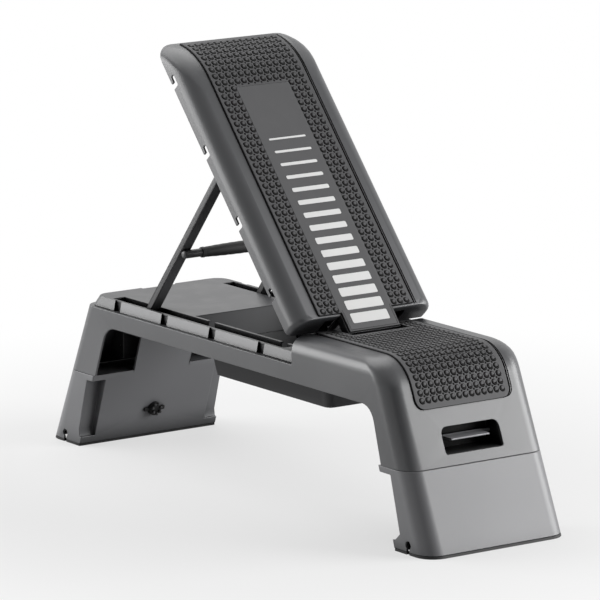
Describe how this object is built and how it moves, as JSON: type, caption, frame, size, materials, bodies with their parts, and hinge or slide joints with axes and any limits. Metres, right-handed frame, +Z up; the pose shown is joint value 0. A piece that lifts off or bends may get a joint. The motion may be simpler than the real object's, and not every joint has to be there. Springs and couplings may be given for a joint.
{
  "type": "multi-use exercise step bench",
  "caption": "Black exercise step that opens into a bench: an arched deck on fold-in risers, a matted seat end and a backrest propped up by a folding frame.",
  "frame": {"origin": "on the floor under the middle of the deck", "axes": "+X towards the seat end, along the length; +Y across the width; +Z up"},
  "size_m": [1.331, 0.346, 0.8853],
  "materials": {
    "shell_plastic": "satin black, lightly grained",
    "riser_plastic": "satin dark grey, lightly grained",
    "trim_plastic": "black",
    "mat_rubber": "matt black with a raised texture",
    "panel_rubber": "smooth matt dark grey",
    "grip_rubber": "matt black",
    "black_steel": "black powder coat",
    "bare_steel": "plain"
  },
  "bodies": {
    "base": {"base_shell": "shell_plastic", "deck_insert": "shell_plastic", "storage_tray": "shell_plastic", "tray_screw_1": "bare_steel", "tray_screw_2": "bare_steel", "tray_screw_3": "bare_steel", "tray_screw_4": "bare_steel", "seat_mat": "mat_rubber", "hinge_block": "trim_plastic", "hinge_pin": "bare_steel", "prop_pivot_pin_left": "bare_steel", "prop_pivot_pin_right": "bare_steel", "front_hinge_bracket": "black_steel", "rear_hinge_bracket": "black_steel", "front_riser_pin": "bare_steel", "rear_riser_pin": "bare_steel", "front_grip_cup": "trim_plastic", "rear_grip_cup": "trim_plastic", "front_lever_pin": "bare_steel", "rear_lever_pin": "bare_steel"},
    "backrest": {"backrest_shell": "shell_plastic", "backrest_mat": "mat_rubber", "backrest_panel": "panel_rubber", "backrest_arm_left": "black_steel", "backrest_arm_right": "black_steel", "catch_rail_left": "trim_plastic", "catch_rail_right": "trim_plastic"},
    "prop": {"prop_strut_left": "black_steel", "prop_strut_right": "black_steel", "prop_top_rod": "black_steel", "handle_rod": "black_steel", "handle_sleeve_left": "trim_plastic", "handle_sleeve_right": "trim_plastic", "handle_cap_left": "trim_plastic", "handle_cap_right": "trim_plastic", "handle_grip": "grip_rubber"},
    "front_leg": {"front_riser": "riser_plastic", "front_riser_foot": "grip_rubber"},
    "rear_leg": {"rear_riser": "riser_plastic", "rear_riser_foot": "grip_rubber"},
    "knob": {"riser_knob": "trim_plastic"},
    "front_lever": {"front_release_lever": "riser_plastic"},
    "rear_lever": {"rear_release_lever": "riser_plastic"}
  },
  "joints": [
    {"name": "backrest_tilt", "type": "hinge", "parent": "base", "child": "backrest", "pos_m": [0.245, 0, 0.316], "axis": [0, 1, 0], "range_deg": [0, 26]},
    {"name": "prop_fold", "type": "hinge", "parent": "base", "child": "prop", "pos_m": [-0.33, 0, 0.315], "axis": [0, 1, 0], "range_deg": [0, 51.58]},
    {"name": "front_riser_fold", "type": "hinge", "parent": "base", "child": "front_leg", "pos_m": [0.4935, 0, 0.229], "axis": [0, 1, 0], "range_deg": [0, 112.5]},
    {"name": "rear_riser_fold", "type": "hinge", "parent": "base", "child": "rear_leg", "pos_m": [-0.468, 0, 0.245], "axis": [0, -1, 0], "range_deg": [0, 112.5]},
    {"name": "front_lever_lift", "type": "hinge", "parent": "base", "child": "front_lever", "pos_m": [0.5385, 0, 0.205], "axis": [0, -1, 0], "range_deg": [0, 18], "stiffness_Nm_per_rad": 0.5, "springref_deg": -5.73},
    {"name": "rear_lever_lift", "type": "hinge", "parent": "base", "child": "rear_lever", "pos_m": [-0.5385, 0, 0.205], "axis": [0, 1, 0], "range_deg": [0, 18], "stiffness_Nm_per_rad": 0.5, "springref_deg": -5.73},
    {"name": "knob_turn", "type": "hinge", "parent": "rear_leg", "child": "knob", "pos_m": [-0.52324, 0, 0.064], "axis": [0.9468, 0, -0.3219], "range_deg": [0, 90]}
  ]
}
